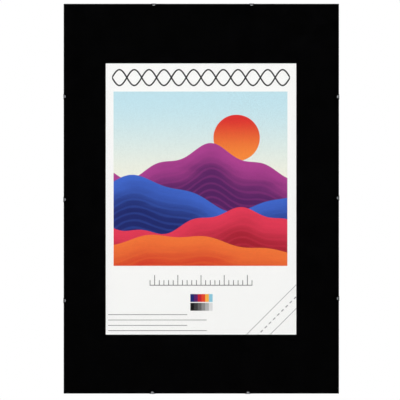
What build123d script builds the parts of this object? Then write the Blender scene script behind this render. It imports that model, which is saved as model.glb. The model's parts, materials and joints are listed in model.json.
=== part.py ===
from build123d import *
from math import asin, cos, radians, sin, tan
import os

# Frameless clip frame for an A1 poster.
# A clear plastic sheet, a printed insert and a black card lie on a hardboard back.
# Ten spring clips hold the stack: each lip bears on the sheet, each toe sits in a slot in the board.
# Riveted straps carry four hanging rings, two for an upright picture and two for a wide one.
# X is to the right seen from the front, Y points to the wall and Z is up.
# The origin is midway between the two portrait rings, on the line of their bars.

# Sheets, in millimetres
board_width = 594.0
board_height = 841.0
board_thickness = 3.0
card_thickness = 0.3
card_margin = 0.1
insert_width = 411.0
insert_height = 585.0
insert_thickness = 0.25
insert_shift_right = -0.6
insert_shift_up = -0.7
sheet_thickness = 2.0
sheet_edge_break = 0.25

# Spring clips
clip_steel = 0.7
clip_width = 12.0
lip_width = 6.0
lip_contact = 2.6
lip_tip = 1.2
lip_slope_angle = 14.0
lip_flare_angle = 40.0
lip_bend = 1.2
lip_corner = 2.2
lip_clearance = 0.05
web_clearance = 0.3
web_bend = 0.8
back_bend = 1.2
back_clearance = 0.9
bow_reach = 11.0
bow_height = 2.7
bow_bend = 25.0
heel_bend = 0.9
heel_clearance = 0.15
toe_reach = 22.0
toe_width = 7.0
toe_corner = 1.0
toe_front_room = 0.8
slot_play = 5.5
slot_outer_room = 1.0
slot_inner_room = 0.6

# Where the slots are along the edges, and how far each clip has slid along its slot
long_edge_pitch = 220.0
short_edge_pitch = 208.0
clip_slide = {
    "top_left": 1.4,
    "top_right": 4.7,
    "bottom_left": -1.4,
    "bottom_right": -3.2,
    "left_upper": 0.2,
    "left_middle": -1.8,
    "left_lower": 0.1,
    "right_upper": -0.4,
    "right_middle": 1.4,
    "right_lower": 5.0,
}

# Hanging rings, their straps and rivets
hanger_inset = 70.0
portrait_ring_spacing = 360.0
landscape_ring_spacing = 480.0
ring_wire = 2.0
ring_inner_width = 16.0
ring_inner_height = 21.0
ring_corner = 2.5
ring_joint_gap = 0.4
ring_clearance = 0.06
strap_steel = 0.8
strap_width = 10.0
strap_length = 14.0
strap_fold_gap = 0.06
strap_fold_angle = 30.0
strap_fold_bend = 2.0
strap_corner = 3.5
rivet_reach = 8.5
rivet_shank = 3.0
rivet_clearance = 0.05
rivet_head = 6.6
rivet_head_height = 1.2
rivet_head_rim = 0.3
rivet_clinch = 5.6
rivet_clinch_height = 0.7
clinch_cover = 0.1
clinch_room = 0.2

# Places that follow from the sizes above
strap_eye = ring_wire / 2 + ring_clearance
board_back = -(strap_eye + strap_steel)
board_front = board_back - board_thickness
card_front = board_front - card_thickness
insert_front = card_front - insert_thickness
sheet_front = insert_front - sheet_thickness
stack_depth = board_back - sheet_front
board_top = hanger_inset
board_middle = board_top - board_height / 2
lip_axis_depth = -(lip_bend + lip_clearance)
toe_end = stack_depth - board_thickness + toe_front_room
slot_length = toe_width + 2 * slot_play
clinch_recess = rivet_clinch_height + clinch_cover
cut_length = 2 * (toe_reach + strap_length)


def frame_plane(origin, inward):
    """A plane with X pointing inward from an edge, Y to the wall and Z along the edge."""
    direction = Vector(inward)
    return Plane(origin=origin, x_dir=direction, z_dir=direction.cross(Vector(0, 1, 0)))


def edge_places():
    """Name, slot plane and clip plane of every clip, on the front edge of the clear sheet."""
    left, right = -board_width / 2, board_width / 2
    bottom = board_top - board_height
    across = short_edge_pitch / 2
    up = long_edge_pitch
    slots = [
        ("top_left", (-across, sheet_front, board_top), (0, 0, -1), (1, 0, 0)),
        ("top_right", (across, sheet_front, board_top), (0, 0, -1), (1, 0, 0)),
        ("bottom_left", (-across, sheet_front, bottom), (0, 0, 1), (1, 0, 0)),
        ("bottom_right", (across, sheet_front, bottom), (0, 0, 1), (1, 0, 0)),
    ]
    for side, edge, inward in (("left", left, (1, 0, 0)), ("right", right, (-1, 0, 0))):
        for level, height in (("upper", up), ("middle", 0.0), ("lower", -up)):
            origin = (edge, sheet_front, board_middle + height)
            slots.append((f"{side}_{level}", origin, inward, (0, 0, 1)))
    places = []
    for name, origin, inward, along in slots:
        slid = Vector(origin) + Vector(along) * clip_slide[name]
        places.append((name, frame_plane(origin, inward), frame_plane(slid, inward)))
    return places


def hanger_places():
    """Name and plane of every hanging ring: X runs from the ring's bar along its strap, Y to the wall."""
    side = -board_width / 2 + hanger_inset
    across, up = portrait_ring_spacing / 2, landscape_ring_spacing / 2
    return [
        ("portrait_left", frame_plane((-across, 0, 0), (0, 0, -1))),
        ("portrait_right", frame_plane((across, 0, 0), (0, 0, -1))),
        ("landscape_upper", frame_plane((side, 0, board_middle + up), (1, 0, 0))),
        ("landscape_lower", frame_plane((side, 0, board_middle - up), (1, 0, 0))),
    ]


def strip(path, width, steel):
    """Sheet steel of one width and thickness bent along a path in the XY plane."""
    start = Plane(origin=path @ 0, x_dir=(0, 0, 1), z_dir=path % 0)
    return sweep(start * Rectangle(width, steel), path=path)


def prism(points, plane, low, high, end_corner=0.0):
    """A polygon in a plane, its two far corners rounded, extruded between two offsets from it."""
    outline = Polygon(*points, align=None)
    if end_corner:
        outline = fillet(outline.vertices().sort_by(Axis.X)[-2:], end_corner)
    return extrude(plane.offset(low) * outline, amount=high - low)


def clip_path():
    """The clip's bent centre line, from the flared lip round the edges and along the back to the toe."""
    bend = lip_bend - clip_steel / 2
    slope, flare = radians(lip_slope_angle), radians(lip_flare_angle)
    half_turn, lean = (flare + slope) / 2, (flare - slope) / 2
    reach = bend / cos(half_turn)
    contact = (lip_contact + reach * sin(lean), lip_axis_depth + reach * cos(lean))
    tip = (contact[0] + lip_tip, contact[1] - lip_tip * tan(flare))
    web = -(web_clearance + clip_steel / 2)
    front_corner = (web, contact[1] - (contact[0] - web) * tan(slope))
    back_corner = (web, stack_depth + back_clearance + clip_steel / 2)
    bow = (bow_reach, stack_depth + bow_height + clip_steel / 2)
    heel_edge = toe_reach - clip_steel / 2 - slot_outer_room
    heel_depth = stack_depth + heel_clearance + clip_steel / 2
    fall = (bow[1] - heel_depth) / (heel_edge - bow[0])
    heel = (toe_reach, heel_depth - fall * (toe_reach - heel_edge))
    toe = (toe_reach, toe_end)
    corners = [contact, front_corner, back_corner, bow, heel]
    radii = [bend, web_bend, back_bend, bow_bend, heel_bend]
    return FilletPolyline(tip, *corners, toe, radius=radii)


def clip_solid():
    """One spring clip: a narrow lip, a web that widens down the edge, and a tapered arm with its toe."""
    path = clip_path()
    blank = strip(path, clip_width, clip_steel)
    lip, arm, toe = lip_width / 2, clip_width / 2, toe_width / 2
    outer = -(web_clearance + 2 * clip_steel + back_bend)
    inner = web_bend
    tip = (path @ 0).X + clip_steel / 2 * sin(radians(lip_flare_angle))
    shoulder = sheet_thickness / 2
    lip_points = [(outer, -lip), (tip, -lip), (tip, lip), (outer, lip)]
    lip_shape = prism(lip_points, Plane.XZ, -shoulder, cut_length, lip_corner)
    web_points = [
        (shoulder, -lip),
        (stack_depth, -arm),
        (cut_length, -arm),
        (cut_length, arm),
        (stack_depth, arm),
        (shoulder, lip),
    ]
    web_shape = prism(web_points, Plane.YZ, outer, inner)
    taper = toe_reach - clip_steel / 2 - slot_outer_room
    arm_points = [
        (inner, -arm),
        (bow_reach / 2, -arm),
        (taper, -toe),
        (toe_reach + clip_width, -toe),
        (toe_reach + clip_width, toe),
        (taper, toe),
        (bow_reach / 2, arm),
        (inner, arm),
    ]
    arm_shape = prism(arm_points, Plane.XZ, -cut_length, -shoulder)
    shaped = blank & (lip_shape + web_shape + arm_shape)
    ends = [
        e
        for e in shaped.edges().filter_by(Axis.X)
        if abs(e.center().Y - toe_end) < clip_steel / 2 and e.center().X > bow_reach
    ]
    return fillet(ends, toe_corner)


def strap_path():
    """The strap's centre line: out along the board, round the ring's bar and back on top of itself."""
    round_bar = strap_eye + strap_steel / 2
    slope = radians(strap_fold_angle)
    leave = (round_bar * sin(slope), round_bar * cos(slope))
    upper = -round_bar + strap_steel + strap_fold_gap
    land = (leave[0] + (leave[1] - upper) / tan(slope), upper)
    tail = (strap_length, -round_bar)
    under = Line(tail, (0, -round_bar))
    eye = CenterArc((0, 0), round_bar, 270, -(180 + strap_fold_angle))
    over = FilletPolyline(leave, land, (strap_length, upper), radius=strap_fold_bend)
    return Wire([under, eye, *over.edges()])


def strap_top():
    """How high the strap's upper layer stands, measured from the ring's bar."""
    return -strap_eye + strap_steel + strap_fold_gap


def strap_solid():
    """A folded steel strap with a rounded tail and a rivet hole."""
    half = strap_width / 2
    front = -(strap_eye + strap_steel)
    points = [(front, -half), (strap_length, -half), (strap_length, half), (front, half)]
    outline = prism(points, Plane.XZ, -cut_length, cut_length, strap_corner)
    hole = Cylinder(rivet_shank / 2 + rivet_clearance, cut_length, rotation=(90, 0, 0))
    return (strip(strap_path(), strap_width, strap_steel) & outline) - Pos(X=rivet_reach) * hole


def ring_solid():
    """A D-shaped wire ring that hangs over its strap, with the wire's butt joint in its straight bar."""
    bow = (ring_inner_width + ring_wire) / 2
    height = ring_inner_height + ring_wire
    bar = bow - ring_corner
    shoulder = height - bow
    gap = ring_joint_gap / 2
    side = FilletPolyline((0, gap), (0, bow), (shoulder, bow), radius=ring_corner)
    arch = CenterArc((shoulder, 0), bow, 90, -180)
    other = FilletPolyline((shoulder, -bow), (0, -bow), (0, -gap), radius=ring_corner)
    path = Wire([*side.edges(), arch, *other.edges()])
    section = Plane(origin=path @ 0, z_dir=path % 0) * Circle(ring_wire / 2)
    return Rot(X=90) * sweep(section, path=path)


def rivet_solid():
    """A rivet along Y: a low domed head on the strap, a shank and a flat clinched end inside the board."""
    base = strap_top()
    rim, crown = base + rivet_head_rim, base + rivet_head_height
    head, shank, clinch = rivet_head / 2, rivet_shank / 2, rivet_clinch / 2
    clinch_back = board_front + clinch_recess
    clinch_front = clinch_back - rivet_clinch_height
    rise = crown - rim
    dome = (head**2 + rise**2) / (2 * rise)
    half_way = asin(head / dome) / 2
    middle = (dome * sin(half_way), crown - dome * (1 - cos(half_way)))
    flat_sides = Polyline(
        (0, crown),
        (0, clinch_front),
        (clinch, clinch_front),
        (clinch, clinch_back),
        (shank, clinch_back),
        (shank, base),
        (head, base),
        (head, rim),
    )
    return revolve(make_face([flat_sides, ThreePointArc((head, rim), middle, (0, crown))]), axis=Axis.Y)


def board_solid():
    """The hardboard back with a slot for every clip toe and a recessed hole for every rivet."""
    board = Box(board_width, board_thickness, board_height)
    board = Pos(0, (board_back + board_front) / 2, board_middle) * board
    width = clip_steel + slot_outer_room + slot_inner_room
    middle = toe_reach + (slot_inner_room - slot_outer_room) / 2
    slot = Pos(middle, stack_depth - board_thickness / 2) * Box(width, 2 * board_thickness, slot_length)
    for name, slot_plane, clip_plane in edge_places():
        board -= slot_plane.location * slot
    hole = Cylinder(rivet_shank / 2 + rivet_clearance, 4 * board_thickness, rotation=(90, 0, 0))
    recess = Cylinder(rivet_clinch / 2 + clinch_room, 2 * clinch_recess, rotation=(90, 0, 0))
    for name, plane in hanger_places():
        board -= plane.location * Pos(X=rivet_reach) * hole
        board -= plane.location * Pos(rivet_reach, board_front) * recess
    return board


def flat_sheet(width, height, front, back, right=0.0, up=0.0):
    """A flat sheet centred on the board, between two depths."""
    middle = Pos(right, (front + back) / 2, board_middle + up)
    return middle * Box(width, back - front, height)


def clear_sheet_solid():
    """The clear plastic sheet with its sharp edges broken."""
    sheet = flat_sheet(board_width, board_height, sheet_front, insert_front)
    return chamfer(sheet.edges(), sheet_edge_break)


def build_parts():
    """Every piece by name, in place."""
    card_width = board_width - 2 * card_margin
    card_height = board_height - 2 * card_margin
    parts = {
        "backing_board": board_solid(),
        "black_card": flat_sheet(card_width, card_height, card_front, board_front),
        "print_insert": flat_sheet(
            insert_width,
            insert_height,
            insert_front,
            card_front,
            insert_shift_right,
            insert_shift_up,
        ),
        "clear_sheet": clear_sheet_solid(),
    }
    clip = clip_solid()
    for name, slot_plane, clip_plane in edge_places():
        parts[f"clip_{name}"] = clip_plane.location * clip
    strap, ring, rivet = strap_solid(), ring_solid(), rivet_solid()
    rivets = []
    for name, plane in hanger_places():
        parts[f"strap_{name}"] = plane.location * strap
        parts[f"ring_{name}"] = plane.location * ring
        rivets.append(plane.location * Pos(X=rivet_reach) * rivet)
    parts["hanger_rivets"] = Compound(rivets)
    return parts


def main():
    os.makedirs("parts", exist_ok=True)
    for name, shape in build_parts().items():
        export_step(shape, f"parts/{name}.step")


if __name__ == "__main__":
    main()
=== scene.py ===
import json
import math

import bpy
import numpy as np
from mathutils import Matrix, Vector


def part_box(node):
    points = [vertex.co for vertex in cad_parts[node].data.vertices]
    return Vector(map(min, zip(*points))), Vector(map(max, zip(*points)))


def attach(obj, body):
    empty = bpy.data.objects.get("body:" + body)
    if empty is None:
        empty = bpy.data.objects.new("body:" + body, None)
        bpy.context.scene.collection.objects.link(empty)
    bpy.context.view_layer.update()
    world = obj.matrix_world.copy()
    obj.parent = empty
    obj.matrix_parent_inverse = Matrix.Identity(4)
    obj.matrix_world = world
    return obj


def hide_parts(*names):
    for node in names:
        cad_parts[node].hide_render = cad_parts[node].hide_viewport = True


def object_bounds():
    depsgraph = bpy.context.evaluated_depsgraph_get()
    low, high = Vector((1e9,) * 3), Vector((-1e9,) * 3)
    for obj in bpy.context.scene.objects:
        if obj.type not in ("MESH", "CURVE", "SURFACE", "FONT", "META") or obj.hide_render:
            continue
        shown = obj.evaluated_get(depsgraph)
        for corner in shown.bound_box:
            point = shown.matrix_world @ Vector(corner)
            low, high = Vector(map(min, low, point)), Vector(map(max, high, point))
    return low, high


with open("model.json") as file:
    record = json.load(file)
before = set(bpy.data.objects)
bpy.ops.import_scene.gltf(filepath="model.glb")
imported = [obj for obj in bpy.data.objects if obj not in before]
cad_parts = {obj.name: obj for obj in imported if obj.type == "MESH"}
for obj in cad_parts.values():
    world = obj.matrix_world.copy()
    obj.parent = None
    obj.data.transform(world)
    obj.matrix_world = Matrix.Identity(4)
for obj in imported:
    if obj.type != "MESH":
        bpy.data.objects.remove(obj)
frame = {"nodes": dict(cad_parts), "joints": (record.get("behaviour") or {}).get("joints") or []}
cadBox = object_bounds()
nodes = frame["nodes"]
mm = 0.001  # the scene is in metres, most settings are in millimetres
print("frame loaded:", len(nodes), "nodes")


def tone(screen):
    # a screen colour, 0 to 255, as the linear colour that renders to it
    share = np.array(screen) / 255
    linear = np.where(share < 0.04045, share / 12.92, ((share + 0.055) / 1.055) ** 2.4)
    return (*map(float, linear), 1.0)


def metres(sizes):
    return [size * mm for size in sizes]


class Wire:
    # a socket that takes part in sums: each operator adds one Math node,
    # and of two values & gives the lesser and | the greater
    def __init__(self, finish, socket):
        self.finish = finish
        self.socket = socket

    def out(self, name):
        return Wire(self.finish, self.socket.node.outputs[name])

    def maths(self, operation, *values):
        return self.finish.node("Math", {"operation": operation}, values)

    def __add__(self, other):
        return self.maths("ADD", self, other)

    def __sub__(self, other):
        return self.maths("SUBTRACT", self, other)

    def __rsub__(self, other):
        return self.maths("SUBTRACT", other, self)

    def __mul__(self, other):
        return self.maths("MULTIPLY", self, other)

    def __truediv__(self, other):
        return self.maths("DIVIDE", self, other)

    def __rtruediv__(self, other):
        return self.maths("DIVIDE", other, self)

    def __pow__(self, other):
        return self.maths("POWER", self, other)

    def __rpow__(self, other):
        return self.maths("POWER", other, self)

    def __mod__(self, other):
        return self.maths("FLOORED_MODULO", self, other)

    def __rmod__(self, other):
        return self.maths("FLOORED_MODULO", other, self)

    def __and__(self, other):
        return self.maths("MINIMUM", self, other)

    def __or__(self, other):
        return self.maths("MAXIMUM", self, other)

    # these four are the same either way round
    __radd__ = __add__
    __rmul__ = __mul__
    __rand__ = __and__
    __ror__ = __or__

    def __abs__(self):
        return self.maths("ABSOLUTE", self)

    def sine(self):
        return self.maths("SINE", self)

    def cosine(self):
        return self.maths("COSINE", self)

    def root(self):
        return self.maths("SQRT", self)

    def floor(self):
        return self.maths("FLOOR", self)

    def hypot(self, other):
        return (self * self + other * other).root()

    def nearest(self, step):
        # how far past the nearest whole number of steps
        return (self + step / 2) % step - step / 2


class Finish:
    # a node tree; node() is the one way that a node gets in
    def __init__(self, tree):
        self.tree = tree
        tree.nodes.clear()

    def node(self, kind, settings=None, inputs=None, output=0):
        made = self.tree.nodes.new("ShaderNode" + kind)
        for name, value in (settings or {}).items():
            if name == "stops":
                self.setStops(made.color_ramp, value)
            else:
                setattr(made, name, value)
        pairs = inputs.items() if isinstance(inputs, dict) else enumerate(inputs or ())
        for key, value in pairs:
            if isinstance(value, Wire):
                self.tree.links.new(value.socket, made.inputs[key])
            else:
                made.inputs[key].default_value = value
        return Wire(self, made.outputs[output]) if made.outputs else None

    def setStops(self, ramp, colours):
        # one step of the same length for each colour
        ramp.interpolation = "CONSTANT"
        while len(ramp.elements) < len(colours):
            ramp.elements.new(1.0)
        for index, colour in enumerate(colours):
            ramp.elements[index].position = index / len(colours)
            ramp.elements[index].color = tone(colour)

    def place(self):
        return self.node("TexCoord", output="Object")

    def parts(self, vector):
        split = self.node("SeparateXYZ", inputs=[vector])
        return [split.out(axis) for axis in "XYZ"]

    def stretch(self, vector, size, turn=(0, 0, 0)):
        # turned first, then measured in steps of this size along each axis
        inputs = {"Vector": vector, "Rotation": turn, "Scale": size}
        return self.node("Mapping", {"vector_type": "TEXTURE"}, inputs)

    def noise(self, vector, scale=1.0, detail=2.0, rough=0.5):
        # scale is about how many grains lie in a metre, or in one step where the vector is stretched
        inputs = {"Vector": vector, "Scale": scale, "Detail": detail, "Roughness": rough}
        return self.node("TexNoise", inputs=inputs)

    def rise(self, value, low, high):
        # 0 below low, 1 above high, a smooth step between them
        inputs = {"Value": value, "From Min": low, "From Max": high}
        return self.node("MapRange", {"interpolation_type": "SMOOTHSTEP"}, inputs)

    def fall(self, value, low, high):
        # 1 below low, 0 above high
        return 1 - self.rise(value, low, high)

    def mix(self, share, first, second):
        return self.node("Mix", {"data_type": "RGBA"}, {0: share, 6: first, 7: second}, output=2)

    def bump(self, height, depth):
        # depth in millimetres where height goes from 0 to 1
        return self.node("Bump", inputs={"Height": height, "Distance": depth * mm})

    def shader(self, inputs):
        return self.node("BsdfPrincipled", inputs=inputs)

    def show(self, shader):
        self.node("OutputMaterial", inputs={"Surface": shader})


def newFinish(name):
    material = bpy.data.materials.new(name)
    material.use_nodes = True
    return material, Finish(material.node_tree)


def dress(node, material):
    nodes[node].material_slots[0].material = material


def newPiece(name, grid, caps, material):
    # grid holds rings of points: quads join each ring to the next and close it on itself,
    # and a flat face caps the first or the last; only the quads are shaded as one round surface
    rings, count = grid.shape[:2]
    here = np.arange(rings * count).reshape(rings, count)
    beside = np.roll(here, -1, axis=1)
    quads = np.stack([here[:-1], here[1:], beside[1:], beside[:-1]], axis=-1).reshape(-1, 4).tolist()
    flats = {"first": here[0].tolist(), "last": here[-1, ::-1].tolist()}
    mesh = bpy.data.meshes.new(name)
    mesh.from_pydata(grid.reshape(-1, 3).tolist(), [], quads + [flats[cap] for cap in caps])
    mesh.polygons.foreach_set("use_smooth", np.arange(len(mesh.polygons)) < len(quads))
    mesh.materials.append(material)
    mesh.update()
    piece = bpy.data.objects.new(name, mesh)
    bpy.context.scene.collection.objects.link(piece)
    return piece


# camera: square to the front, far enough back that the edges run parallel
viewing = {
    "distance": 6.0,  # metres
    "farEnd": 60.0,  # metres
    "pixelsPerMetre": 463.7,
    "picturePixels": 400,
    "sensor": 36.0,
    "aimRight": -2.8,
    "aimUp": -2.8,
}


def setCamera():
    low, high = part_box("clear_sheet")
    middle = (low + high) / 2
    lens = bpy.data.cameras.new("viewCamera")
    lens.sensor_width = viewing["sensor"]
    across = viewing["picturePixels"] / viewing["pixelsPerMetre"]
    lens.lens = viewing["sensor"] * viewing["distance"] / across
    lens.clip_end = viewing["farEnd"]
    camera = bpy.data.objects.new("viewCamera", lens)
    right = middle.x + viewing["aimRight"] * mm
    up = middle.z + viewing["aimUp"] * mm
    camera.location = (right, low.y - viewing["distance"], up)
    camera.rotation_euler = (math.radians(90), 0, 0)
    bpy.context.scene.collection.objects.link(camera)
    bpy.context.scene.camera = camera


setCamera()
print("camera set")


# clear sheet: polished styrene with its edges eased
clearSheet = {
    "gap": 0.02,  # behind it, so that it doesn't share a face with the paper
    "ease": 0.25,
    "corner": 0.6,
    "roundSteps": 6,
    "squareOn": 0.052,  # share mirrored by styrene, index 1.59, seen square on
    "gloss": 0.02,
    "smear": 9.0,
    "smearRough": 0.03,
    "edgeSpan": (0.7, 1.1),  # in from the outline, as shares of the ease
    "frontSpan": (0.3, 0.6),  # back from the front face, as shares of the ease
    "edgeCloud": 0.34,
    "edgeRough": 0.35,
    "edgeTint": (236, 243, 243),
    "sawMark": (0.5, 20.0, 0.5),
    "sawDepth": 0.3,
}


def clearFinish(low, high):
    material, finish = newFinish("clearStyrene")
    place = finish.place()
    x, y, z = finish.parts(place)
    middle, half = (low + high) / 2, (high - low) / 2
    ease = clearSheet["ease"] * mm
    inside = (half.x - abs(x - middle.x)) & (half.z - abs(z - middle.z))
    edge = finish.fall(inside, *(share * ease for share in clearSheet["edgeSpan"]))
    front = finish.fall(y, *(low.y + share * ease for share in clearSheet["frontSpan"]))
    # the share mirrored: a little square on, rising with the fifth power towards the grazing view
    grazing = finish.node("LayerWeight", inputs={"Blend": 0.5}, output="Facing")
    mirror = clearSheet["squareOn"] + (1 - clearSheet["squareOn"]) * grazing ** 5
    smear = finish.noise(place, clearSheet["smear"], detail=4.0)
    saw = finish.noise(finish.stretch(place, metres(clearSheet["sawMark"])))
    marks = (saw - 0.5) * clearSheet["sawDepth"]
    solid = mirror * front * (1 - edge) + edge * (clearSheet["edgeCloud"] + marks)
    rough = clearSheet["gloss"] + smear * clearSheet["smearRough"]
    gloss = finish.shader({
        "Base Color": finish.mix(edge, (1, 1, 1, 1), tone(clearSheet["edgeTint"])),
        "Metallic": 1 - edge,
        "Roughness": rough + edge * (clearSheet["edgeRough"] + marks),
    })
    finish.show(finish.node("MixShader", inputs=[solid, finish.node("BsdfTransparent"), gloss]))
    return material


def makeClearSheet():
    # the outline, with round corners, is carried through the edge's profile:
    # a quarter round at the front, a flat and a quarter round at the back
    low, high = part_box("clear_sheet")
    middle, half = (low + high) / 2, (high - low) / 2
    ease, corner = clearSheet["ease"] * mm, clearSheet["corner"] * mm
    back = high.y - clearSheet["gap"] * mm
    turn = np.linspace(0, math.pi / 2, clearSheet["roundSteps"])
    inset = ease * (1 - np.concatenate([np.sin(turn), np.cos(turn)]))
    depth = np.concatenate([low.y + ease * (1 - np.cos(turn)), back - ease * (1 - np.sin(turn))])
    around = (turn + math.pi / 2 * np.arange(4)[:, None]).ravel()
    signX = np.repeat([1, -1, -1, 1], len(turn))
    signZ = np.repeat([1, 1, -1, -1], len(turn))
    reach = corner - inset[:, None]
    x = middle.x + signX * (half.x - corner) + reach * np.cos(around)
    z = middle.z + signZ * (half.z - corner) + reach * np.sin(around)
    y = np.broadcast_to(depth[:, None], x.shape)
    grid = np.stack([x, y, z], axis=-1)
    piece = newPiece("clearSheet", grid, ("first", "last"), clearFinish(low, high))
    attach(piece, "frame")
    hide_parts("clear_sheet")


makeClearSheet()
print("clear sheet made")


# black card: matt black with faint fibres
blackCard = {
    "dark": (1, 1, 1),
    "pale": (7, 7, 8),
    "fibre": 900.0,
    "fibreStretch": (1.0, 1.0, 3.0),
    "fibreTurn": (0, 0.5, 0),
    "cloud": 25.0,
    "cloudShare": 0.3,
    "paleSpan": (0.35, 0.75),
    "rough": 0.75,
    "fibreRough": 0.15,
    "specular": 0.01,
    "relief": 0.02,
}


def cardFinish():
    material, finish = newFinish("blackCard")
    place = finish.place()
    lay = finish.stretch(place, blackCard["fibreStretch"], blackCard["fibreTurn"])
    fibre = finish.noise(lay, blackCard["fibre"], detail=3.0)
    cloud = finish.noise(place, blackCard["cloud"], detail=3.0)
    felt = fibre * (1 - blackCard["cloudShare"]) + cloud * blackCard["cloudShare"]
    pale = finish.rise(felt, *blackCard["paleSpan"])
    finish.show(finish.shader({
        "Base Color": finish.mix(pale, tone(blackCard["dark"]), tone(blackCard["pale"])),
        "Roughness": blackCard["rough"] + fibre * blackCard["fibreRough"],
        "Specular IOR Level": blackCard["specular"],
        "Normal": finish.bump(fibre, blackCard["relief"]),
    }))
    return material


dress("black_card", cardFinish())
print("black card dressed")


# print: white satin paper with a plain stock design, placed from the paper's middle
printSheet = {
    "paper": (250, 250, 249),
    "paperShade": (244, 244, 242),
    "ink": (24, 23, 26),
    "inkDepth": (0.05, 0.1),  # behind the front face, where its colours end
    "soft": 0.25,  # half the blur of a printed edge
    "fibre": 600.0,
    "fibreSpan": (0.3, 0.8),
    "rough": 0.42,
    "fibreRough": 0.1,
    "specular": 0.35,
    "relief": 0.01,
}


def stroke(finish, distance, width):
    # 1 within half a width of the line where distance is 0
    soft = printSheet["soft"]
    return finish.fall(abs(distance), width / 2 - soft, width / 2 + soft)


def panel(finish, right, up, halfWidth, halfHeight):
    # 1 inside a rectangle about the point where right and up are 0
    soft = printSheet["soft"]
    return finish.rise((halfWidth - abs(right)) & (halfHeight - abs(up)), -soft, soft)


picture = {
    "right": -1.2,
    "up": 43.8,
    "halfWidth": 187.5,
    "halfHeight": 188.0,
    "grain": 420.0,
    "grainInk": 0.3,
    "inkShare": 0.04,
    "skyHigh": (196, 230, 240),
    "skyLow": (252, 246, 226),
    "skyFoot": -60.0,
    "sunRight": 78.0,
    "sunUp": 88.0,
    "sunRadius": 50.0,
    "sunEdge": 0.5,
    "sunHigh": (226, 38, 36),
    "sunLow": (250, 140, 52),
    "streak": (140.0, 1000.0, 33.0),  # size of a brushed streak along each axis
    "streakSway": 46.0,  # how far streaks carry a hill's shade up or down
    "shadeSpan": (-4.0, 78.0),  # depth below the crest over which a hill darkens
    "furrowPace": 0.42,  # radians of the furrows' wave in a millimetre of depth
    "furrowLean": 0.03,
    "furrowSway": 5.0,
    "furrowSpan": (0.1, 1.0),
    "furrowShare": 0.2,
    "crestEdge": 0.4,
    "hills": [  # far to near: level, waves as (height, length, phase), crest and foot colours
        (38.0, [(30.0, 56.0, 1.2), (9.0, 19.0, 0.4)], (178, 60, 146), (84, 18, 98)),
        (-32.0, [(34.0, 71.0, 3.5), (7.0, 23.0, 1.9)], (58, 102, 206), (14, 32, 112)),
        (-92.0, [(25.0, 63.0, 0.2), (6.0, 17.0, 2.7)], (232, 52, 84), (168, 10, 40)),
        (-140.0, [(18.0, 84.0, 2.3), (4.0, 21.0, 0.8)], (246, 118, 48), (214, 46, 22)),
    ],
}


def skyColours(finish, right, up):
    height = finish.rise(up, picture["skyFoot"], picture["halfHeight"])
    colour = finish.mix(height, tone(picture["skyLow"]), tone(picture["skyHigh"]))
    radius, edge = picture["sunRadius"], picture["sunEdge"]
    fromSun = (right - picture["sunRight"]).hypot(up - picture["sunUp"])
    disc = finish.fall(fromSun, radius - edge, radius + edge)
    inSun = finish.rise(up, picture["sunUp"] - radius, picture["sunUp"] + radius)
    return finish.mix(disc, colour, finish.mix(inSun, tone(picture["sunLow"]), tone(picture["sunHigh"])))


def hillColours(finish, right, up, colour):
    # each hill lies under a sum of sine waves and covers what is behind it
    streaks = finish.noise(finish.stretch(finish.place(), metres(picture["streak"])), detail=3.0)
    edge = picture["crestEdge"]
    for level, waves, crestTone, footTone in picture["hills"]:
        crest = level
        for height, length, phase in waves:
            crest = crest + height * (right / length + phase).sine()
        depth = crest - up
        shade = finish.rise(depth + (streaks - 0.5) * picture["streakSway"], *picture["shadeSpan"])
        body = finish.mix(shade, tone(crestTone), tone(footTone))
        lean = right * picture["furrowLean"] + streaks * picture["furrowSway"]
        furrow = finish.rise((depth * picture["furrowPace"] + lean).sine(), *picture["furrowSpan"])
        body = finish.mix(furrow * picture["furrowShare"], body, tone(crestTone))
        colour = finish.mix(finish.rise(depth, -edge, edge), colour, body)
    return colour


def pictureInk(finish, right, up):
    right, up = right - picture["right"], up - picture["up"]
    colour = hillColours(finish, right, up, skyColours(finish, right, up))
    grain = (finish.noise(finish.place(), picture["grain"], detail=3.0) - 0.5) * picture["grainInk"]
    colour = finish.mix(grain + picture["inkShare"], colour, tone(printSheet["ink"]))
    return panel(finish, right, up, picture["halfWidth"], picture["halfHeight"]), colour


waveBand = {
    "level": 262.0,
    "height": 17.0,
    "length": 64.0,
    "stroke": 3.2,
    "reach": 192.0,
}


def waveMask(finish, right, up):
    # two sine waves that cross; dividing by the slope's length keeps a stroke as wide all along
    pace = 2 * math.pi / waveBand["length"]
    wave = (right * pace).sine() * waveBand["height"]
    slope = (right * pace).cosine() * (waveBand["height"] * pace)
    lean = (1 + slope * slope).root()
    level = up - waveBand["level"]
    rising = stroke(finish, (level - wave) / lean, waveBand["stroke"])
    falling = stroke(finish, (level + wave) / lean, waveBand["stroke"])
    reach, soft = waveBand["reach"], printSheet["soft"]
    return (rising | falling) * finish.fall(abs(right), reach - soft, reach + soft)


ruler = {
    "level": -186.0,
    "reach": 110.0,
    "end": (0.5, 1.0),  # past the last tick
    "foot": (-0.6, -0.4),  # below the middle of the base line
    "stroke": 1.4,
    "shortTicks": (10.0, 11.0),  # step and height
    "tallTicks": (50.0, 22.0),
}


def rulerMask(finish, right, up):
    # a base line with a tick at each step
    above = up - ruler["level"]
    ink = stroke(finish, above, ruler["stroke"])
    for step, height in (ruler["shortTicks"], ruler["tallTicks"]):
        tick = stroke(finish, right.nearest(step), ruler["stroke"]) * finish.rise(above, *ruler["foot"])
        ink = ink | tick * finish.fall(above, height - printSheet["soft"], height)
    return ink * finish.fall(abs(right), *(ruler["reach"] + past for past in ruler["end"]))


ruledLines = {
    "left": -200.0,
    "level": -284.0,
    "step": 11.5,
    "count": 4,
    "long": 212.0,
    "short": 170.0,
    "stroke": 1.1,
    "rowEnd": (0.4, 0.6),  # past the outer rows, in rows
}


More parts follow.
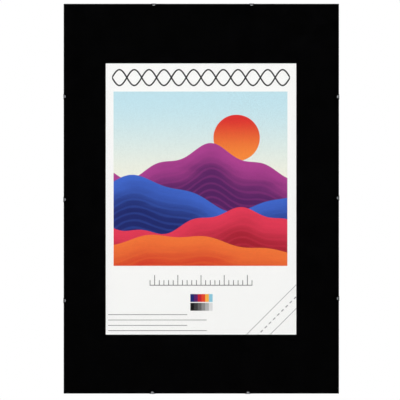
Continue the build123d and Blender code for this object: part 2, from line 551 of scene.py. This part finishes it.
def ruledMask(finish, right, up):
    # rows one step apart, counted upwards from 0, alternately long and short
    soft, halfCount = printSheet["soft"], (ruledLines["count"] - 1) / 2
    above = up - ruledLines["level"]
    fromLeft = right - ruledLines["left"]
    row = (above / ruledLines["step"] + 0.5).floor()
    inRow = finish.fall(abs(row - halfCount), *(halfCount + past for past in ruledLines["rowEnd"]))
    length = ruledLines["long"] - row % 2 * (ruledLines["long"] - ruledLines["short"])
    inLength = finish.rise(fromLeft, -soft, 0) * finish.fall(fromLeft - length, 0, soft)
    return stroke(finish, above.nearest(ruledLines["step"]), ruledLines["stroke"]) * inRow * inLength


patches = {
    "right": 1.0,
    "up": -223.0,
    "width": 8.0,
    "height": 36.0,  # of both rows together
    "gutter": (0.8, 1.2),
    "join": 0.1,
    "inks": [
        (14, 32, 112),
        (92, 20, 104),
        (200, 16, 48),
        (232, 70, 30),
        (250, 180, 70),
        (140, 200, 220),
    ],
    "greys": [(level, level, level) for level in (20, 60, 100, 140, 180, 220)],
}


def patchInk(finish, right, up):
    # a row of inks above a row of greys
    count = len(patches["inks"])
    halfWidth = patches["width"] * count / 2
    right, up = right - patches["right"], up - patches["up"]
    column = (((right + halfWidth) / patches["width"]).floor() + 0.5) / count
    inks = finish.node("ValToRGB", {"stops": patches["inks"]}, [column])
    greys = finish.node("ValToRGB", {"stops": patches["greys"]}, [column])
    colour = finish.mix(finish.rise(up, -patches["join"], patches["join"]), greys, inks)
    shown = panel(finish, right, up, halfWidth, patches["height"] / 2)
    return shown * finish.rise(abs(up), *patches["gutter"]), colour


cornerBand = {
    "ink": (150, 150, 152),
    "outer": 107.5,  # where each line meets the edges, from the corner
    "inner": 56.5,
    "stroke": 1.2,
    "dashStroke": 2.4,
    "dash": 9.0,
    "dashEnd": 0.3,
}


def cornerMask(finish, right, up, half):
    # two slanting lines across the lower right corner, with dashes between them
    fromRight, fromFoot = half.x - right, up + half.z
    slant = fromRight + fromFoot
    outer, inner, dash = cornerBand["outer"], cornerBand["inner"], cornerBand["dash"]

    def slantLine(place, width):
        return stroke(finish, (slant - place) / math.sqrt(2), width)

    along = (fromRight - fromFoot) % (2 * dash) - dash
    dashes = finish.rise(along, -cornerBand["dashEnd"], cornerBand["dashEnd"])
    lines = slantLine(outer, cornerBand["stroke"]) | slantLine(inner, cornerBand["stroke"])
    return lines | slantLine((outer + inner) / 2, cornerBand["dashStroke"]) * dashes


def printFinish():
    material, finish = newFinish("printedPaper")
    place = finish.place()
    x, y, z = finish.parts(place)
    low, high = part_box("print_insert")
    middle, half = (low + high) / 2, (high - low) / 2 / mm
    right, up = (x - middle.x) / mm, (z - middle.z) / mm
    front = finish.fall(y, *(low.y + depth * mm for depth in printSheet["inkDepth"]))

    fibre = finish.noise(place, printSheet["fibre"], detail=4.0, rough=0.6)
    shade = finish.rise(fibre, *printSheet["fibreSpan"])
    colour = finish.mix(shade, tone(printSheet["paper"]), tone(printSheet["paperShade"]))
    shown, ink = pictureInk(finish, right, up)
    colour = finish.mix(front * shown, colour, ink)
    dark = waveMask(finish, right, up) | rulerMask(finish, right, up) | ruledMask(finish, right, up)
    colour = finish.mix(front * dark, colour, tone(printSheet["ink"]))
    shown, ink = patchInk(finish, right, up)
    colour = finish.mix(front * shown, colour, ink)
    colour = finish.mix(front * cornerMask(finish, right, up, half), colour, tone(cornerBand["ink"]))
    finish.show(finish.shader({
        "Base Color": colour,
        "Roughness": printSheet["rough"] + fibre * printSheet["fibreRough"],
        "Specular IOR Level": printSheet["specular"],
        "Normal": finish.bump(fibre, printSheet["relief"]),
    }))
    return material


dress("print_insert", printFinish())
print("print dressed")


# hardboard: felted fibres, a wire screen's mark on the back, layered edges
hardboard = {
    "light": (182, 143, 102),
    "dark": (134, 96, 62),
    "fleck": (96, 66, 42),
    "edge": (108, 75, 48),
    "cut": (152, 113, 77),
    "backSpan": (-0.1, -0.03),  # from the back face, where the cut edge's look ends
    "strand": (6.5, 3.0, 0.55),  # length, depth and width
    "headings": (8, 42, 77, 113, 151),
    "strandSpan": (0.52, 0.8),
    "fuzz": 1400.0,
    "fuzzShare": 0.4,
    "cloud": 16.0,
    "cloudSpan": (0.35, 0.75),
    "cloudShare": 0.35,
    "flecks": 380.0,
    "fleckSpan": (0.66, 0.74),
    "fleckShare": 0.55,
    "screen": 1.6,  # pitch of the screen's mark
    # how far into the screen's pits, and how much, their colour is darkened: painted shade
    "pitSpan": (-0.7, 0.2),
    "pitShare": 0.4,
    "layer": (9.0, 0.35, 9.0),
    "layerSpan": (0.3, 0.75),
    "slotInset": 21.8,
    "slotHalfWidth": 1.15,
    "slotHalfLength": 9.0,
    "longPitch": 220.0,
    "shortReach": 104.0,
    "rimSpan": (0.4, 2.6),
    "rimFray": 1.5,
    "rimShare": 0.55,
    "rough": 0.82,
    "strandGloss": 0.2,
    "specular": 0.25,
    "relief": 0.14,
    "screenRelief": 0.5,
    "strandRelief": 0.7,
}


def boardStrands(finish, place):
    # noise drawn out along several headings, of which the strongest shows
    size = metres(hardboard["strand"])
    strongest = 0
    for heading in hardboard["headings"]:
        turn = (0, math.radians(heading), 0)
        strongest = strongest | finish.noise(finish.stretch(place, size, turn))
    return strongest


def slotDistance(x, z, low, high):
    # millimetres outside the nearest punched slot; folding the board brings all of them onto two
    half = (high - low) / 2 / mm
    right, up = abs(x) / mm, (z - (low.z + high.z) / 2) / mm
    halfWidth, halfLength = hardboard["slotHalfWidth"], hardboard["slotHalfLength"]
    fromSide = abs(right - (half.x - hardboard["slotInset"]))
    fromEnd = abs(abs(up) - (half.z - hardboard["slotInset"]))
    longEdge = (fromSide - halfWidth) | (abs(up.nearest(hardboard["longPitch"])) - halfLength)
    shortEdge = (fromEnd - halfWidth) | (abs(right - hardboard["shortReach"]) - halfLength)
    return longEdge & shortEdge


def boardFinish():
    material, finish = newFinish("hardboard")
    place = finish.place()
    x, y, z = finish.parts(place)
    low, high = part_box("backing_board")
    back = finish.rise(y, *(high.y + depth * mm for depth in hardboard["backSpan"]))
    dark, fleck = tone(hardboard["dark"]), tone(hardboard["fleck"])

    # felted strands, evened out by a finer fuzz, with clouds and flecks
    strands = boardStrands(finish, place)
    fuzz = finish.noise(place, hardboard["fuzz"], detail=3.0, rough=0.65) * hardboard["fuzzShare"]
    felt = finish.rise(strands, *hardboard["strandSpan"]) * (1 - hardboard["fuzzShare"]) + fuzz
    mottle = finish.noise(place, hardboard["cloud"], detail=4.0, rough=0.55)
    cloud = finish.rise(mottle, *hardboard["cloudSpan"])
    flecks = finish.rise(finish.noise(place, hardboard["flecks"]), *hardboard["fleckSpan"])
    colour = finish.mix(felt, dark, tone(hardboard["light"]))
    colour = finish.mix(cloud * hardboard["cloudShare"], colour, dark)
    colour = finish.mix(flecks * hardboard["fleckShare"], colour, fleck)

    # the screen's mark is a product of two sine waves
    pace = 2 * math.pi / (hardboard["screen"] * mm)
    screen = (x * pace).sine() * (z * pace).sine()
    # the pits of the screen's mark are darkened on the back face: painted shade in the recesses
    pitShade = finish.fall(screen, *hardboard["pitSpan"])
    colour = finish.mix(pitShade * back * hardboard["pitShare"], colour, fleck)

    # punched slots have a dark crushed rim
    frayed = slotDistance(x, z, low, high) + strands * hardboard["rimFray"]
    rim = finish.fall(frayed, *hardboard["rimSpan"])
    colour = finish.mix(rim * hardboard["rimShare"], colour, fleck)

    # cut edges show the board's layers
    layers = finish.noise(finish.stretch(place, metres(hardboard["layer"])), detail=3.0)
    pale = finish.rise(layers * (1 - hardboard["fuzzShare"]) + fuzz, *hardboard["layerSpan"])
    colour = finish.mix(back, finish.mix(pale, tone(hardboard["edge"]), tone(hardboard["cut"])), colour)

    relief = screen * back * hardboard["screenRelief"] + strands * hardboard["strandRelief"]
    finish.show(finish.shader({
        "Base Color": colour,
        "Roughness": hardboard["rough"] - strands * hardboard["strandGloss"],
        "Specular IOR Level": hardboard["specular"],
        "Normal": finish.bump(relief, hardboard["relief"]),
    }))
    return material


dress("backing_board", boardFinish())
print("backing board dressed")


# bent strips: the way that spring clips and ring straps are made
bentStrip = {
    "bendStep": 7.0,  # degrees between stations round a bend
    "walkSteps": 6000,
    "edgeSteps": 5,  # points round each rounded edge of the section
    "faceColumns": 7,
    "endReach": 3.5,  # the stretch at each end with closer stations, for its round corners
    "endStations": 14,
    "endFace": 0.04,  # share of the ease at which the end face starts
}


def bentLine(corners, radii, step):
    # the heading holds on a straight run and turns evenly round a bend;
    # a point is the running sum of the heading's direction along the line
    corners, radii = np.array(corners), np.array(radii)
    runs = np.diff(corners, axis=0)
    headings = np.unwrap(np.arctan2(runs[:, 1], runs[:, 0]))
    turns = np.abs(np.diff(headings))
    cuts = np.concatenate([[0], radii * np.tan(turns / 2), [0]])
    lengths = np.zeros(2 * len(radii) + 1)
    lengths[0::2] = np.hypot(runs[:, 0], runs[:, 1]) - cuts[:-1] - cuts[1:]
    lengths[1::2] = radii * turns
    counts = np.ceil(lengths / step)
    counts[1::2] = np.maximum(counts[1::2], np.ceil(turns / math.radians(bentStrip["bendStep"])))
    knots = np.concatenate([[0], np.cumsum(lengths)])
    spans = zip(knots[:-1], knots[1:], counts.astype(int))
    stations = [np.linspace(start, end, count, endpoint=False) for start, end, count in spans]

    fine = np.linspace(0, knots[-1], bentStrip["walkSteps"] + 1)
    heading = np.interp((fine[1:] + fine[:-1]) / 2, knots, np.repeat(headings, 2))
    walk = np.stack([np.cos(heading), np.sin(heading)], axis=1) * fine[1]  # every step is that long
    track = corners[0] + np.concatenate([[[0, 0]], np.cumsum(walk, axis=0)])

    def at(travel):
        x, y = (np.interp(travel, fine, track[:, axis]) for axis in (0, 1))
        return x, y, np.interp(travel, knots, np.repeat(headings, 2))

    return at, knots[-1], np.concatenate(stations)


def bentSurface(strip, line, bends, halfWidth):
    # a rounded rectangle carried along the bent line; its corner radius closes up at both ends
    at, total, stations = bentLine(line, bends, strip["step"])
    ease = strip["ease"]
    quarter = np.linspace(0, math.pi / 2, bentStrip["edgeSteps"])
    rounding = 1 - np.cos(np.linspace(0, math.pi / 2, bentStrip["endStations"]))
    ends = np.concatenate([(1 - np.cos(quarter)) * ease, rounding * bentStrip["endReach"]])
    travel = np.unique(np.round(np.concatenate([stations, ends, total - ends]), 3))
    x, y, heading = at(travel)
    toEnd = np.minimum(np.minimum(travel, total - travel) + ease * bentStrip["endFace"], ease)
    radius = np.sqrt(np.maximum(ease**2 - (ease - toEnd) ** 2, 0))[:, None]

    # half of the section is a quarter round, a flat and a quarter round; the rest is its opposite
    flat = np.linspace(1, -1, bentStrip["faceColumns"] + 2)[1:-1]
    angle = np.concatenate([quarter, np.full(len(flat), math.pi / 2), quarter + math.pi / 2])
    side = np.concatenate([np.ones(len(quarter)), flat, -np.ones(len(quarter))])
    level = np.repeat([1, -1], len(angle))
    angle, side = np.concatenate([angle, angle + math.pi]), np.concatenate([side, -side])
    across = side * (halfWidth(x, y, travel)[:, None] - ease) + radius * np.cos(angle)
    through = level * (strip["steel"] / 2 - ease) + radius * np.sin(angle)

    inward = x[:, None] - np.sin(heading)[:, None] * through
    toWall = y[:, None] + np.cos(heading)[:, None] * through
    runs = np.broadcast_to(travel[:, None], across.shape)
    return {
        "grid": np.stack([inward, toWall, across], axis=-1),
        "map": np.stack([runs, across + through], axis=-1).reshape(-1, 2),  # along the strip, across it
        "cut": np.tile(np.abs(np.cos(angle)), len(travel)),  # 1 on the sheared edges, 0 on the faces
    }


def newStrip(name, surface, origin, inward, material):
    # the surface's axes are turned to lie inward from an edge, to the wall and along the edge
    toWall = (0, 1, 0)
    axes = np.array([inward, toWall, np.cross(inward, toWall)])
    grid = np.array(origin) + surface["grid"] @ axes * mm
    piece = newPiece(name, grid, ("first", "last"), material)
    corners = np.empty(len(piece.data.loops), int)
    piece.data.loops.foreach_get("vertex_index", corners)
    stripMap = piece.data.uv_layers.new(name="stripMap")
    stripMap.data.foreach_set("uv", surface["map"][corners].ravel())
    cutEdge = piece.data.attributes.new("cutEdge", "FLOAT", "POINT")
    cutEdge.data.foreach_set("value", surface["cut"])
    return piece


# rolled steel: roll marks along the strip, a few scratches, a cloudy bloom, duller sheared edges
rolledSteel = {
    "rollMark": (20.0, 0.11, 1.0),  # along the strip and across it
    "rollSpan": (0.3, 0.7),
    "rollRough": 0.14,
    "rollRelief": 0.6,
    "scratch": (6.0, 0.04, 1.0),
    "scratchTurn": (0, 0, 0.06),
    "scratchSpan": (0.62, 0.7),
    "scratchRough": 0.1,
    "scratchRelief": 0.4,
    "bloom": 500.0,
    "bloomSpan": (0.5, 0.8),
    "bloomShare": 0.3,
    "cutSpan": (0.5, 0.95),
    "cutShare": 0.5,
    "cutRough": 0.15,
}


def steelFinish(name, strip):
    steel = rolledSteel
    material, finish = newFinish(name)
    place = finish.node("UVMap", {"uv_map": "stripMap"})
    rolled = finish.noise(finish.stretch(place, steel["rollMark"]), detail=4.0, rough=0.6)
    scored = finish.noise(finish.stretch(place, steel["scratch"], steel["scratchTurn"]), detail=1.0)
    scratch = finish.rise(scored, *steel["scratchSpan"])
    bloom = finish.rise(finish.noise(finish.place(), steel["bloom"], detail=3.0), *steel["bloomSpan"])
    cut = finish.node("Attribute", {"attribute_name": "cutEdge"}, output="Fac")
    sheared = finish.rise(cut, *steel["cutSpan"])
    bright = finish.rise(rolled, *steel["rollSpan"])
    colour = finish.mix(bright, tone(strip["dark"]), tone(strip["light"]))
    colour = finish.mix(bloom * steel["bloomShare"], colour, tone(strip["bloom"]))
    colour = finish.mix(sheared * steel["cutShare"], colour, tone(strip["cut"]))
    rough = strip["rough"] + rolled * steel["rollRough"] + scratch * steel["scratchRough"]
    relief = rolled * steel["rollRelief"] - scratch * steel["scratchRelief"]
    finish.show(finish.shader({
        "Base Color": colour,
        "Metallic": 1.0,
        "Roughness": rough + sheared * steel["cutRough"],
        "Normal": finish.bump(relief, strip["relief"]),
    }))
    return material


def cornerLoss(corner, reach):
    # what a quarter circle takes off half the width, this far from the end
    left = np.clip(corner - reach, 0, corner)
    return corner - np.sqrt(corner**2 - left**2)


# spring clips: one bent strip each, from the lip on the clear sheet to the toe in its slot
springClip = {
    "steel": 0.7,
    "ease": 0.16,
    "step": 0.9,
    "lipContact": 2.6,  # from the sheet's edge to the bend that bears on it
    "lipTip": 1.2,
    "lipSlope": 14.0,
    "lipFlare": 40.0,
    "lipBend": 1.2,
    "lipGap": 0.05,
    "lipHalf": 3.0,
    "lipCorner": 2.2,
    "webGap": 0.3,
    "webBend": 0.8,
    "shoulder": 1.0,  # where the web starts to widen
    "backGap": 0.9,
    "backBend": 1.2,
    "armHalf": 6.0,
    "bowReach": 11.0,
    "bowHeight": 2.7,
    "bowBend": 25.0,
    "heelGap": 0.15,
    "heelBend": 0.9,
    "heelRoom": 1.35,  # from the heel's slot edge to the middle of the toe
    "toeReach": 22.0,
    "toeDepth": 2.2,  # how far the toe goes into its slot
    "toeHalf": 3.5,
    "toeCorner": 1.0,
    "light": (216, 218, 221),
    "dark": (172, 175, 180),
    "bloom": (194, 198, 206),
    "cut": (158, 158, 160),
    "rough": 0.2,
    "relief": 0.008,
}
# from the front of the clear sheet to the back of the board
stackDepth = (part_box("backing_board")[1].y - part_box("clear_sheet")[0].y) / mm


def clipLine():
    # x runs inward from the sheet's edge and y from its front to the wall: the lip's bend lies on
    # the line that halves its turn, the web runs square down the edge, the arm bows out and falls
    # to its heel, and the toe goes in
    clip = springClip
    half = clip["steel"] / 2
    slope, flare = math.radians(clip["lipSlope"]), math.radians(clip["lipFlare"])
    bend = clip["lipBend"] - half
    away, lean = bend / math.cos((flare + slope) / 2), (flare - slope) / 2
    lipLevel = away * math.cos(lean) - clip["lipBend"] - clip["lipGap"]
    lip = (clip["lipContact"] + away * math.sin(lean), lipLevel)
    tip = (lip[0] + clip["lipTip"], lip[1] - clip["lipTip"] * math.tan(flare))
    web = -(clip["webGap"] + half)
    front = (web, lip[1] - (lip[0] - web) * math.tan(slope))
    back = (web, stackDepth + clip["backGap"] + half)
    bow = (clip["bowReach"], stackDepth + clip["bowHeight"] + half)
    heelEdge = clip["toeReach"] - clip["heelRoom"]
    heelLevel = stackDepth + clip["heelGap"] + half
    fall = (bow[1] - heelLevel) / (heelEdge - bow[0])
    heel = (clip["toeReach"], heelLevel - fall * clip["heelRoom"])
    toe = (clip["toeReach"], stackDepth - clip["toeDepth"])
    bends = [bend, clip["webBend"], clip["backBend"], clip["bowBend"], clip["heelBend"]]
    return [tip, lip, front, back, bow, heel, toe], bends


def clipHalfWidth(x, y, travel):
    # narrow lip, web that widens towards the back, arm that tapers to the toe, both ends rounded
    clip = springClip
    web = np.interp(y, [clip["shoulder"], stackDepth], [clip["lipHalf"], clip["armHalf"]])
    taper = [clip["bowReach"] / 2, clip["toeReach"] - clip["heelRoom"]]
    arm = np.interp(x, taper, [clip["armHalf"], clip["toeHalf"]])
    lipEnd = clip["steel"] / 2 * math.sin(math.radians(clip["lipFlare"]))
    fromTip = np.maximum.accumulate(x[0] - x) + lipEnd
    lost = cornerLoss(clip["lipCorner"], fromTip) + cornerLoss(clip["toeCorner"], travel[-1] - travel)
    return np.minimum(web, arm) - lost


def makeClips():
    line, bends = clipLine()
    surface = bentSurface(springClip, line, bends, clipHalfWidth)
    steel = steelFinish("clipSteel", springClip)
    low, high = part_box("clear_sheet")
    edges = {  # which way is inward, and where the edge is
        "top": ((0, 0, -1), high.z),
        "bottom": ((0, 0, 1), low.z),
        "left": ((1, 0, 0), low.x),
        "right": ((-1, 0, 0), high.x),
    }
    for node in sorted(nodes):
        if not node.startswith("clip_"):
            continue
        inward, edge = edges[node.split("_")[1]]
        clipLow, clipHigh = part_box(node)
        middle = (clipLow + clipHigh) / 2
        origin = (middle.x, low.y, edge) if inward[2] else (edge, low.y, middle.z)
        name = "spring" + node.title().replace("_", "")
        piece = newStrip(name, surface, origin, inward, steel)
        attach(piece, node)
        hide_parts(node)


makeClips()
print("spring clips made")


# ring straps: a strip folded round the ring's bar, its two tails held by one rivet
ringStrap = {
    "steel": 0.8,
    "ease": 0.18,
    "step": 0.9,
    "bar": 1.0,  # half of the ring's wire
    "barGap": 0.06,
    "foldGap": 0.06,
    "foldAngle": 30.0,
    "foldBend": 2.0,
    "length": 14.0,
    "half": 5.0,
    "corner": 3.5,
    "light": (198, 194, 186),
    "dark": (160, 156, 148),
    "bloom": (186, 180, 168),
    "cut": (150, 146, 138),
    "rough": 0.2,
    "relief": 0.008,
}


def strapLine():
    # x runs from the ring's bar along the strap and y to the wall: along the board to the bar, round it
    # and back on top of itself; the turn is two equal bends, so its line has two corners outside the eye
    strap = ringStrap
    eye = strap["bar"] + strap["barGap"] + strap["steel"] / 2
    fold = math.radians(strap["foldAngle"])
    turn = math.pi + fold
    away = eye / math.cos(turn / 4)
    first, second = -math.pi / 2 - turn / 4, -math.pi / 2 - 3 * turn / 4
    upper = strap["steel"] + strap["foldGap"] - eye
    land = eye * math.sin(fold) + (eye * math.cos(fold) - upper) / math.tan(fold)
    line = [
        (strap["length"], -eye),
        (away * math.cos(first), away * math.sin(first)),
        (away * math.cos(second), away * math.sin(second)),
        (land, upper),
        (strap["length"], upper),
    ]
    return line, [eye, eye, strap["foldBend"]]


def strapHalfWidth(x, y, travel):
    # full width with both tails rounded
    toEnd = np.minimum(travel, travel[-1] - travel)
    return ringStrap["half"] - cornerLoss(ringStrap["corner"], toEnd)


def makeStraps():
    line, bends = strapLine()
    surface = bentSurface(ringStrap, line, bends, strapHalfWidth)
    plate = steelFinish("strapPlate", ringStrap)
    bars = {joint["child"]: joint["pos_m"] for joint in frame["joints"]}
    for place in ("portrait_left", "portrait_right", "landscape_upper", "landscape_lower"):
        inward = (0, 0, -1) if place.startswith("portrait") else (1, 0, 0)
        name = "ringStrap" + place.title().replace("_", "")
        piece = newStrip(name, surface, bars["ring_" + place], inward, plate)
        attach(piece, "frame")
        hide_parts("strap_" + place)


makeStraps()
print("ring straps made")


# rings and rivets: nickel plate with a little handling wear
nickel = {
    "light": (214, 210, 202),
    "dark": (176, 171, 162),
    "cloud": 240.0,
    "cloudSpan": (0.35, 0.7),
    "cloudRough": 0.12,
    "drawn": 1500.0,
    "drawnStretch": (1.0, 0.2, 1.0),
    "drawnRough": 0.06,
    "rough": 0.16,
    "relief": 0.006,
}


def nickelFinish():
    material, finish = newFinish("nickelPlate")
    place = finish.place()
    cloud = finish.noise(place, nickel["cloud"], detail=4.0)
    drawn = finish.noise(finish.stretch(place, nickel["drawnStretch"]), nickel["drawn"])
    worn = finish.rise(cloud, *nickel["cloudSpan"])
    finish.show(finish.shader({
        "Base Color": finish.mix(worn, tone(nickel["dark"]), tone(nickel["light"])),
        "Metallic": 1.0,
        "Roughness": nickel["rough"] + cloud * nickel["cloudRough"] + drawn * nickel["drawnRough"],
        "Normal": finish.bump(drawn, nickel["relief"]),
    }))
    return material


plated = nickelFinish()
for node in nodes:
    if node.startswith("ring_") or node == "hanger_rivets":
        dress(node, plated)
print("rings and rivets dressed")


# studio, in metres: a pale floor well below, soft lamps all round, a world that is white where it shows
studio = {
    "ambient": 0.5,
    "darkInside": 38.0,  # degrees off the line to the camera within which gloss sees no light
    "darkOutside": 80.0,
    "floorDrop": 1.0,
    "floorMiddle": 0.02,
    "floorRadius": 3.6,
    "floorFade": 0.55,  # share of the radius where it starts to fade out
    "floorRings": 24,
    "floorSides": 72,
    "floorTone": (238, 238, 236),
    "floorRough": 0.9,
    "floorSpecular": 0.1,
    "lamps": [  # place from the middle of the frame, size, watts
        ("keyLamp", (-2.3, -3.0, 2.2), 1.8, 84.0),
        ("fillLamp", (2.6, -2.6, 2.2), 2.0, 62.0),
        ("backLeftLamp", (2.4, 3.0, 1.8), 1.8, 70.0),
        ("backRightLamp", (-2.6, 2.8, 1.2), 2.0, 50.0),
    ],
}


def setWorld():
    world = bpy.data.worlds.new("studio")
    bpy.context.scene.world = world
    world.use_nodes = True
    finish = Finish(world.node_tree)
    camera = finish.node("LightPath", output="Is Camera Ray")
    glossy = camera.out("Is Glossy Ray")
    through = camera.out("Is Transmission Ray")
    y = finish.parts(finish.node("TexCoord", output="Generated"))[1]
    inside, outside = (math.cos(math.radians(studio[key])) for key in ("darkInside", "darkOutside"))
    dark = finish.rise(0 - y, outside, inside) * glossy
    shown = camera | glossy | through
    light = shown * (1 - dark) + (1 - shown) * studio["ambient"]
    background = finish.node("Background", inputs={"Color": (1, 1, 1, 1), "Strength": light})
    finish.node("OutputWorld", inputs={"Surface": background})


def floorFinish(middle):
    material, finish = newFinish("paleFloor")
    x, y = finish.parts(finish.place())[:2]
    away = (x - middle.x).hypot(y - middle.y)
    under = finish.node("NewGeometry", output="Backfacing")  # nothing of it shows from below
    gone = finish.rise(away, studio["floorRadius"] * studio["floorFade"], studio["floorRadius"]) | under
    pale = finish.shader({
        "Base Color": tone(studio["floorTone"]),
        "Roughness": studio["floorRough"],
        "Specular IOR Level": studio["floorSpecular"],
    })
    finish.show(finish.node("MixShader", inputs=[gone, pale, finish.node("BsdfTransparent")]))
    return material


def makeFloor():
    # a disc: rings of equal steps from a small middle ring out to the edge
    low, high = cadBox
    middle = (low + high) / 2
    radius = np.linspace(studio["floorMiddle"], studio["floorRadius"], studio["floorRings"])[:, None]
    turn = np.linspace(0, 2 * math.pi, studio["floorSides"], endpoint=False)
    x, y = middle.x + radius * np.cos(turn), middle.y + radius * np.sin(turn)
    z = np.full(x.shape, low.z - studio["floorDrop"])
    floor = newPiece("paleFloor", np.stack([x, y, z], axis=-1), ("first",), floorFinish(middle))


def setLamps():
    low, high = cadBox
    middle = (low + high) / 2
    for name, place, size, watts in studio["lamps"]:
        lamp = bpy.data.lights.new(name, "AREA")
        lamp.size = size
        lamp.energy = watts
        holder = bpy.data.objects.new(name, lamp)
        holder.location = middle + Vector(place)
        holder.rotation_euler = (-Vector(place)).to_track_quat("-Z", "Y").to_euler()
        bpy.context.scene.collection.objects.link(holder)


setWorld()
makeFloor()
setLamps()
bpy.context.scene.view_settings.view_transform = "Standard"
print("studio set")
